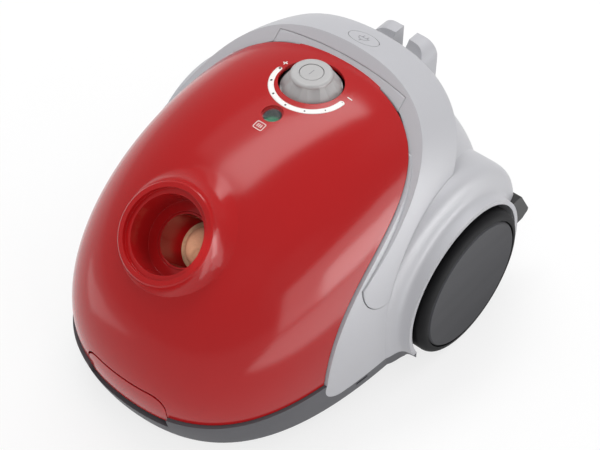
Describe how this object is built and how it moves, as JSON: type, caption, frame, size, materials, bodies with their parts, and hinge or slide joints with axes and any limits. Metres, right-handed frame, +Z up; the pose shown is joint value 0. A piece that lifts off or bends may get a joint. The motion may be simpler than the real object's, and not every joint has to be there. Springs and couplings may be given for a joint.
{
  "type": "canister vacuum cleaner",
  "caption": "Egg-shaped canister vacuum cleaner with a hinged front lid and hose inlet, bow handle, speed knob, large side wheels, front caster, dust bag, motor and cord reel.",
  "frame": {"origin": "on the floor under the middle of the machine's outline", "axes": "+Z up; -Y towards the front with the hose inlet; +X towards the machine's left wheel"},
  "size_m": [0.281, 0.3474, 0.214],
  "materials": {
    "lid_red": "glossy",
    "shell_grey": "satin",
    "base_grey": "satin",
    "tyre_grey": "matt",
    "hub_grey": "satin",
    "knob_grey": "satin",
    "trim_black": "satin",
    "steel": "brushed",
    "motor_steel": "satin",
    "fan_alloy": "satin",
    "bag_paper": "matt",
    "collar_card": "matt",
    "filter_felt": "matt",
    "seal_rubber": "matt",
    "float_green": "glossy",
    "inner_plastic": "matt",
    "lens_clear": "polished"
  },
  "bodies": {
    "body": {"axle_left": "steel", "axle_right": "steel", "bag_collar": "collar_card", "bag_holder": "inner_plastic", "base_shell": "base_grey", "bow_handle": "shell_grey", "brake_bracket": "inner_plastic", "bulkhead": "inner_plastic", "caster_cup": "base_grey", "cord_outlet": "trim_black", "dust_bag": "bag_paper", "dust_tray": "inner_plastic", "exhaust_filter": "filter_felt", "exhaust_grille": "base_grey", "fan_shroud": "fan_alloy", "filter_frame": "inner_plastic", "hinge_bracket": "inner_plastic", "hinge_pins": "steel", "latch_catch": "inner_plastic", "motor_can": "motor_steel", "motor_cradle": "inner_plastic", "motor_deck": "inner_plastic", "motor_filter": "filter_felt", "motor_front_seal": "seal_rubber", "rear_housing": "shell_grey", "reel_stand": "inner_plastic", "speed_control": "inner_plastic", "stand_lug_left": "trim_black", "stand_lug_right": "trim_black"},
    "lid": {"lid": "lid_red", "inlet_sleeve": "lid_red", "indicator_cup": "inner_plastic", "indicator_lens": "lens_clear", "latch_pin": "steel"},
    "latch": {"latch": "lid_red"},
    "knob": {"speed_knob": "knob_grey"},
    "power_button": {"power_button": "knob_grey"},
    "rewind_button": {"rewind_button": "shell_grey"},
    "brake_lever": {"brake_lever": "inner_plastic"},
    "indicator_float": {"indicator_float": "float_green"},
    "wheel_left": {"tyre_left": "tyre_grey", "wheel_hub_left": "hub_grey", "hub_cap_left": "hub_grey"},
    "wheel_right": {"tyre_right": "tyre_grey", "wheel_hub_right": "hub_grey", "hub_cap_right": "hub_grey"},
    "caster": {"caster_fork": "hub_grey", "caster_pin": "steel"},
    "caster_wheel": {"caster_wheel": "tyre_grey"},
    "motor_rotor": {"motor_shaft": "steel", "fan_impeller": "fan_alloy"},
    "reel": {"cord_reel": "inner_plastic"}
  },
  "joints": [
    {"name": "lid_hinge", "type": "hinge", "parent": "body", "child": "lid", "pos_m": [0, 0.0715, 0.193], "axis": [-1, 0, 0], "range_deg": [0, 60]},
    {"name": "latch_pull", "type": "hinge", "parent": "lid", "child": "latch", "pos_m": [0, -0.164, 0.057], "axis": [-1, 0, 0], "range_deg": [0, 10], "stiffness_Nm_per_rad": 0.5},
    {"name": "knob_turn", "type": "hinge", "parent": "body", "child": "knob", "pos_m": [0, 0.0375, 0.1975], "axis": [0, 0, 1], "range_deg": [-90, 90]},
    {"name": "power_press", "type": "slide", "parent": "knob", "child": "power_button", "axis": [0, 0, -1], "range_m": [0, 0.002], "stiffness_N_per_m": 1200},
    {"name": "rewind_press", "type": "slide", "parent": "body", "child": "rewind_button", "axis": [0, 0, -1], "range_m": [0, 0.0025], "stiffness_N_per_m": 1200},
    {"name": "brake_release", "type": "hinge", "parent": "body", "child": "brake_lever", "pos_m": [0.054, 0.144, 0.06], "axis": [0, 1, 0], "range_deg": [0, 5]},
    {"name": "indicator_rise", "type": "slide", "parent": "lid", "child": "indicator_float", "axis": [0, 0, 1], "range_m": [0, 0.005]},
    {"name": "wheel_left_spin", "type": "hinge", "parent": "body", "child": "wheel_left", "pos_m": [0.1245, 0.0645, 0.062], "axis": [1, 0, 0], "continuous": true},
    {"name": "wheel_right_spin", "type": "hinge", "parent": "body", "child": "wheel_right", "pos_m": [-0.1245, 0.0645, 0.062], "axis": [1, 0, 0], "continuous": true},
    {"name": "caster_swivel", "type": "hinge", "parent": "body", "child": "caster", "pos_m": [0, -0.1165, 0.024], "axis": [0, 0, 1], "continuous": true},
    {"name": "caster_roll", "type": "hinge", "parent": "caster", "child": "caster_wheel", "pos_m": [0, -0.1065, 0.011], "axis": [1, 0, 0], "continuous": true},
    {"name": "motor_spin", "type": "hinge", "parent": "body", "child": "motor_rotor", "pos_m": [0, 0.0635, 0.092], "axis": [0, 1, 0], "continuous": true},
    {"name": "reel_spin", "type": "hinge", "parent": "body", "child": "reel", "pos_m": [0, 0.1255, 0.08], "axis": [0, 1, 0], "continuous": true}
  ],
  "couplings": [
    {"joint": "brake_release", "follows": "rewind_press", "rad_per_m": 34.907}
  ]
}
